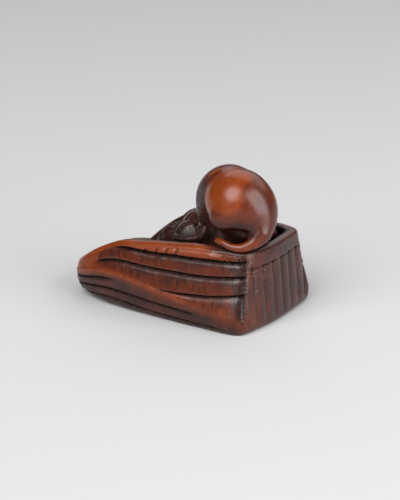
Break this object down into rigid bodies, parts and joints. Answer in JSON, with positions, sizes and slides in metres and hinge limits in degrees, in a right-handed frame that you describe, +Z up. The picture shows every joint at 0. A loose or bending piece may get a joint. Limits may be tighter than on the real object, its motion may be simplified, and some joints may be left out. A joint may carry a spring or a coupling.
{
  "type": "netsuke",
  "caption": "Carved boxwood netsuke: a rat crouches on the rim of a woven winnowing basket, with cord holes through the underside. Hangs from a sash cord or stands as an ornament.",
  "frame": {"origin": "on the ground, under the middle of the whole carving", "axes": "+Z up, +X towards the basket's high back wall, -Y towards the near wall that the rat's left feet hold"},
  "size_m": [0.0494, 0.0304, 0.0341],
  "materials": {
    "stained_boxwood": "stained, hand-polished satin, worn orange-tan on the high places and dark in the cuts"
  },
  "bodies": {
    "root": {"netsuke": "stained_boxwood"}
  },
  "joints": []
}
